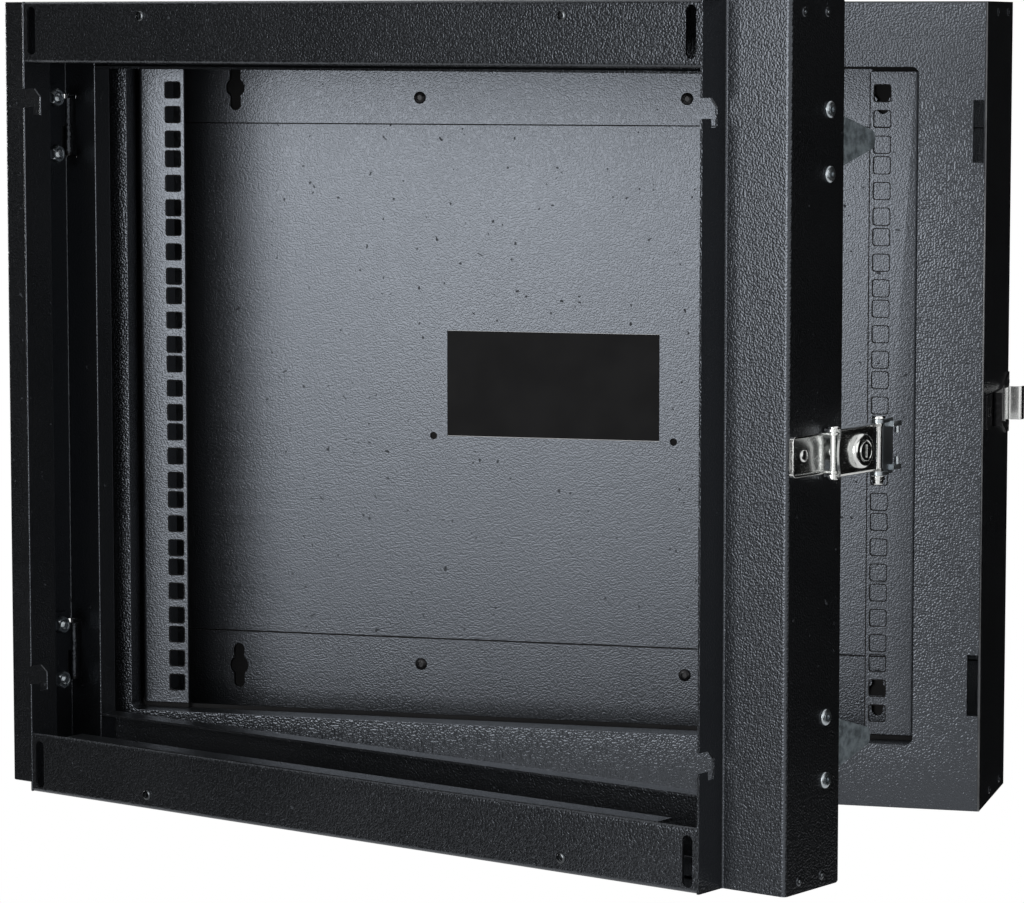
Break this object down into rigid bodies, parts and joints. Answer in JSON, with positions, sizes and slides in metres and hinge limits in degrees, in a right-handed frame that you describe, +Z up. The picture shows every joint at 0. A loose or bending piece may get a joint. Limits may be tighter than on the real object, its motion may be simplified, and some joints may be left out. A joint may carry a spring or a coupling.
{
  "type": "swing-out wall rack frame",
  "caption": "Black wall-mounted equipment rack: shallow wall box with square-hole rails and a hinged, open swing-out front frame closed by a keyed hasp.",
  "frame": {"origin": "middle of the wall box's rear face, which lies on the wall", "axes": "+X to the right seen from the room, +Y into the wall, +Z up; the swing frame is stored opened by 22.2 degrees, as in the picture"},
  "size_m": [0.6313, 0.3879, 0.5],
  "materials": {
    "black_powder": "black wrinkle-texture powder coat on folded steel sheet",
    "zinc_steel": "bright zinc plate",
    "bright_chrome": "polished nickel-chrome plate",
    "black_blank": "smooth matt black moulding",
    "black_screw": "black oxide"
  },
  "bodies": {
    "wall_box": {"wall_face": "black_powder", "wall_left": "black_powder", "wall_right": "black_powder", "wall_top": "black_powder", "wall_bottom": "black_powder", "back_panel": "black_powder", "mounting_strip_upper": "black_powder", "mounting_strip_lower": "black_powder", "cable_entry_blank": "black_blank", "panel_screws": "black_screw", "rail_left": "black_powder", "rail_right": "black_powder", "rail_bracket_upper_left": "black_powder", "rail_bracket_lower_left": "black_powder", "rail_bracket_upper_right": "black_powder", "rail_bracket_lower_right": "black_powder", "bracket_bolts": "zinc_steel", "bracket_nuts": "zinc_steel", "hinge_bracket_upper": "black_powder", "hinge_bracket_lower": "black_powder", "hinge_pin_upper": "black_screw", "hinge_pin_lower": "black_screw", "keeper": "black_screw", "keeper_tab": "bright_chrome", "keeper_wear_plate": "black_screw", "keeper_rivets": "black_screw"},
    "swing_frame": {"stile_left": "black_powder", "stile_right": "black_powder", "top_rail": "black_powder", "bottom_rail": "black_powder", "gusset_upper_left": "black_powder", "gusset_lower_left": "black_powder", "gusset_upper_right": "black_powder", "gusset_lower_right": "black_powder", "frame_bolts": "zinc_steel", "frame_nuts": "zinc_steel", "frame_rivets": "black_powder", "face_screws": "zinc_steel", "tongue_upper": "zinc_steel", "tongue_lower": "zinc_steel", "hinge_leaf_upper": "black_powder", "hinge_leaf_lower": "black_powder", "hasp_tray": "bright_chrome", "tray_rivets": "bright_chrome", "hasp_pivot": "bright_chrome"},
    "hasp_arm": {"hasp_lever": "bright_chrome", "lock_housing": "bright_chrome", "hasp_rod": "bright_chrome"},
    "lock_core": {"lock_plug": "bright_chrome"},
    "fork": {"hasp_fork": "zinc_steel"}
  },
  "joints": [
    {"name": "frame_swing", "type": "hinge", "parent": "wall_box", "child": "swing_frame", "pos_m": [-0.296, -0.1075, 0], "axis": [0, 0, -1], "range_deg": [-22.2, 77.8]},
    {"name": "hasp_turn", "type": "hinge", "parent": "swing_frame", "child": "hasp_arm", "pos_m": [0.25487, -0.34958, 0], "axis": [0, 0, -1], "range_deg": [0, 95]},
    {"name": "fork_turn", "type": "hinge", "parent": "hasp_arm", "child": "fork", "pos_m": [0.27305, -0.31164, 0], "axis": [0, 0, -1], "range_deg": [-8, 70]},
    {"name": "key_turn", "type": "hinge", "parent": "hasp_arm", "child": "lock_core", "pos_m": [0.26714, -0.33407, -0.0025], "axis": [0.9259, -0.3778, 0], "range_deg": [0, 90]}
  ]
}
